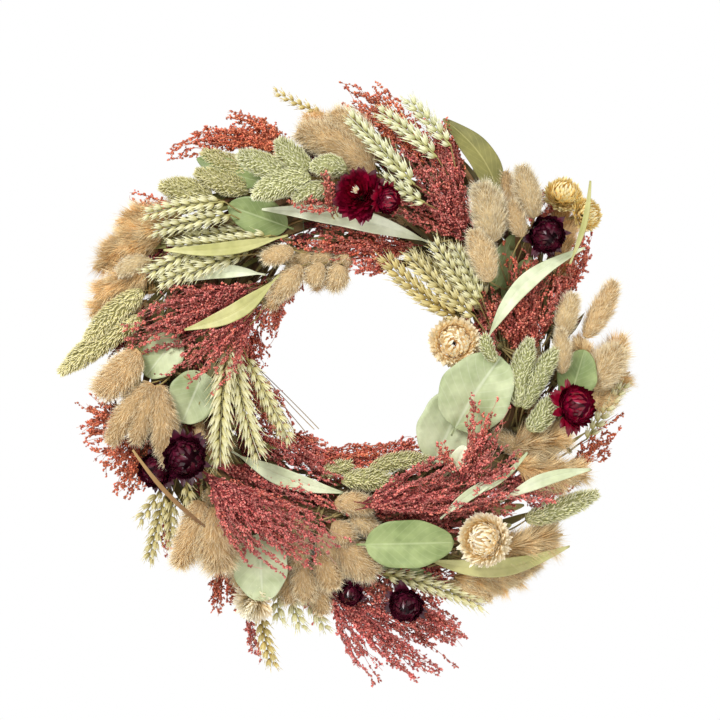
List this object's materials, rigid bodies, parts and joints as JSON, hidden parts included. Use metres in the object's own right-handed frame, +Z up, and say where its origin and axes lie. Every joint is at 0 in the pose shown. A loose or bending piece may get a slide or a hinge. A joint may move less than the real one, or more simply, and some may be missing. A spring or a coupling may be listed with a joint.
{
  "type": "harvest door wreath",
  "caption": "Round door wreath of dried wheat, strawflowers, bunny tails, canary grass, broom corn and leaves wired to a ring frame, with a folding hanging loop.",
  "frame": {"origin": "the point on the inside top of the raised hanging loop that a hook touches", "axes": "+Z up the door, +Y into the door (the front faces -Y), +X to the right as seen from the front; the ring's centre is 180 mm below the origin"},
  "size_m": [0.4556, 0.0973, 0.4692],
  "materials": {
    "galvanised_wire": "satin",
    "florist_wire": "satin",
    "stems": "matte",
    "strawflower_crimson": "satin",
    "strawflower_plum": "satin",
    "strawflower_cream": "satin",
    "strawflower_gold": "satin",
    "leaf_green": "matte",
    "leaf_pale": "matte",
    "leaf_olive": "matte",
    "wheat": "matte",
    "phalaris": "matte",
    "bunny_tail": "matte",
    "plume": "matte",
    "broom_corn": "matte"
  },
  "bodies": {
    "wreath": {"wire_frame": "galvanised_wire", "stem_bundle": "stems", "binding_wire": "florist_wire", "strawflower_1": "strawflower_crimson", "strawflower_2": "strawflower_cream", "strawflower_3": "strawflower_cream", "strawflower_4": "strawflower_plum", "strawflower_5": "strawflower_gold", "strawflower_6": "strawflower_crimson", "strawflower_7": "strawflower_cream", "strawflower_8": "strawflower_plum", "strawflower_9": "strawflower_cream", "strawflower_10": "strawflower_plum", "strawflower_11": "strawflower_plum", "eucalyptus_1": "leaf_green", "eucalyptus_2": "leaf_green", "eucalyptus_3": "leaf_olive", "eucalyptus_4": "leaf_green", "eucalyptus_5": "leaf_pale", "eucalyptus_6": "leaf_pale", "eucalyptus_7": "leaf_green", "eucalyptus_8": "leaf_pale", "eucalyptus_9": "leaf_pale", "eucalyptus_10": "leaf_pale", "willow_leaf_1": "leaf_pale", "willow_leaf_2": "leaf_olive", "willow_leaf_3": "leaf_pale", "willow_leaf_4": "leaf_pale", "willow_leaf_5": "leaf_olive", "wheat_1": "wheat", "wheat_2": "wheat", "wheat_3": "wheat", "wheat_4": "wheat", "wheat_5": "wheat", "wheat_6": "wheat", "phalaris_1": "phalaris", "phalaris_2": "phalaris", "phalaris_3": "phalaris", "phalaris_4": "phalaris", "phalaris_5": "phalaris", "bunny_tail_1": "bunny_tail", "bunny_tail_2": "bunny_tail", "bunny_tail_3": "bunny_tail", "bunny_tail_4": "bunny_tail", "bunny_tail_5": "plume", "bunny_tail_6": "bunny_tail", "bunny_tail_7": "bunny_tail", "bunny_tail_8": "bunny_tail", "bunny_tail_9": "plume", "bunny_tail_10": "plume", "broom_corn_1": "broom_corn", "broom_corn_2": "broom_corn", "broom_corn_3": "broom_corn", "broom_corn_4": "broom_corn", "broom_corn_5": "broom_corn", "broom_corn_6": "broom_corn", "broom_corn_7": "broom_corn", "broom_corn_8": "broom_corn", "broom_corn_9": "broom_corn"},
    "loop": {"hanging_loop": "galvanised_wire"}
  },
  "joints": [
    {"name": "loop_fold", "type": "hinge", "parent": "wreath", "child": "loop", "pos_m": [0, 0, -0.0285], "axis": [-1, 0, 0], "range_deg": [0, 150]}
  ]
}
